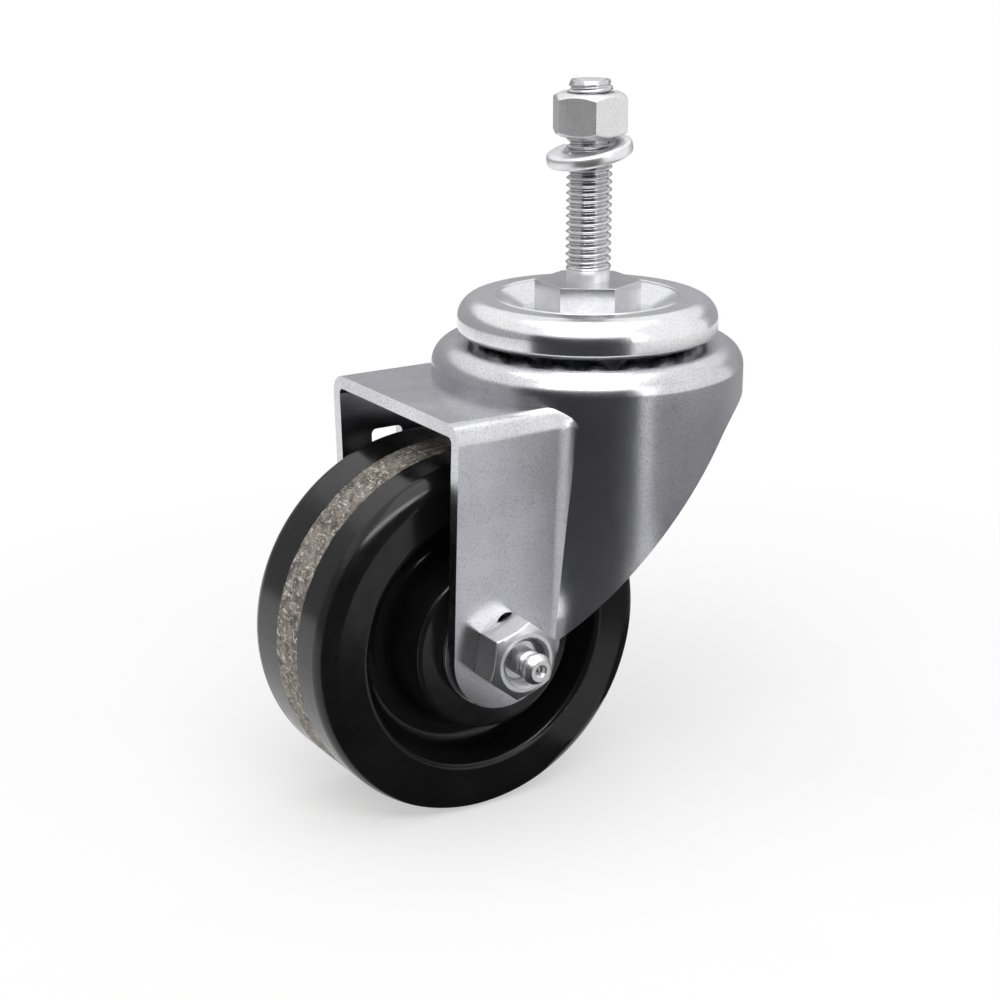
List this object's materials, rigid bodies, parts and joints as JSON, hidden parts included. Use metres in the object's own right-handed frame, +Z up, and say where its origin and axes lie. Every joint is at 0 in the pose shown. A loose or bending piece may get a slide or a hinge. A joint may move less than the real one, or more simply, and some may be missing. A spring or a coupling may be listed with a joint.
{
  "type": "threaded stem swivel castor",
  "caption": "Swivel castor with a threaded stem, lock nut and hex shoulder, a ball-bearing pressed steel fork and a hard moulded wheel turning on a greased roller axle.",
  "frame": {"origin": "on the stem axis, in the top face of the hex shoulder that seats against the thing it carries", "axes": "+Z up along the threaded stem; +X from the stem towards the wheel; +Y along the axle towards the grease fitting"},
  "size_m": [0.106, 0.0689, 0.1474],
  "materials": {
    "bright_zinc": "bright zinc plate",
    "pressed_zinc": "zinc plate over pressed sheet, soft sheen",
    "bearing_steel": "ground and greased",
    "moulded_resin": "glossy black moulding, fibre filler showing on the ground tread"
  },
  "bodies": {
    "stem": {"threaded_stem": "bright_zinc", "top_cap": "pressed_zinc", "lower_race": "pressed_zinc"},
    "lock_washer": {"stem_lock_washer": "bright_zinc"},
    "nut": {"stem_nut": "bright_zinc"},
    "upper_ball_ring": {"upper_balls": "bearing_steel"},
    "lower_ball_ring": {"lower_balls": "bearing_steel"},
    "fork": {"fork": "pressed_zinc", "axle_bolt": "bright_zinc", "axle_nut": "bright_zinc", "grease_fitting": "bright_zinc", "grease_check_ball": "bearing_steel", "spanner_bushing": "bearing_steel", "hub_washers": "bright_zinc"},
    "roller_ring": {"bearing_rollers": "bearing_steel", "bearing_cage": "bearing_steel"},
    "wheel": {"wheel": "moulded_resin"}
  },
  "joints": [
    {"name": "swivel", "type": "hinge", "parent": "stem", "child": "fork", "pos_m": [0, 0, 0], "axis": [0, 0, 1], "continuous": true},
    {"name": "wheel_spin", "type": "hinge", "parent": "fork", "child": "wheel", "pos_m": [0.0349, 0, -0.06815], "axis": [0, 1, 0], "continuous": true},
    {"name": "upper_balls_roll", "type": "hinge", "parent": "stem", "child": "upper_ball_ring", "pos_m": [0, 0, 0], "axis": [0, 0, 1], "continuous": true},
    {"name": "lower_balls_roll", "type": "hinge", "parent": "stem", "child": "lower_ball_ring", "pos_m": [0, 0, 0], "axis": [0, 0, 1], "continuous": true},
    {"name": "rollers_roll", "type": "hinge", "parent": "fork", "child": "roller_ring", "pos_m": [0.0349, 0, -0.06815], "axis": [0, 1, 0], "continuous": true},
    {"name": "stem_nut_travel", "type": "slide", "parent": "stem", "child": "lock_washer", "axis": [0, 0, 1], "range_m": [-0.0225, 0.044]},
    {"name": "stem_nut_turn", "type": "hinge", "parent": "lock_washer", "child": "nut", "pos_m": [0, 0, 0], "axis": [0, 0, 1], "range_deg": [-5090, 9975]}
  ],
  "couplings": [
    {"joint": "upper_balls_roll", "follows": "swivel", "ratio": 0.5},
    {"joint": "lower_balls_roll", "follows": "swivel", "ratio": 0.5},
    {"joint": "rollers_roll", "follows": "wheel_spin", "ratio": 0.5834},
    {"joint": "stem_nut_travel", "follows": "stem_nut_turn", "m_per_rad": 0.00025266}
  ]
}
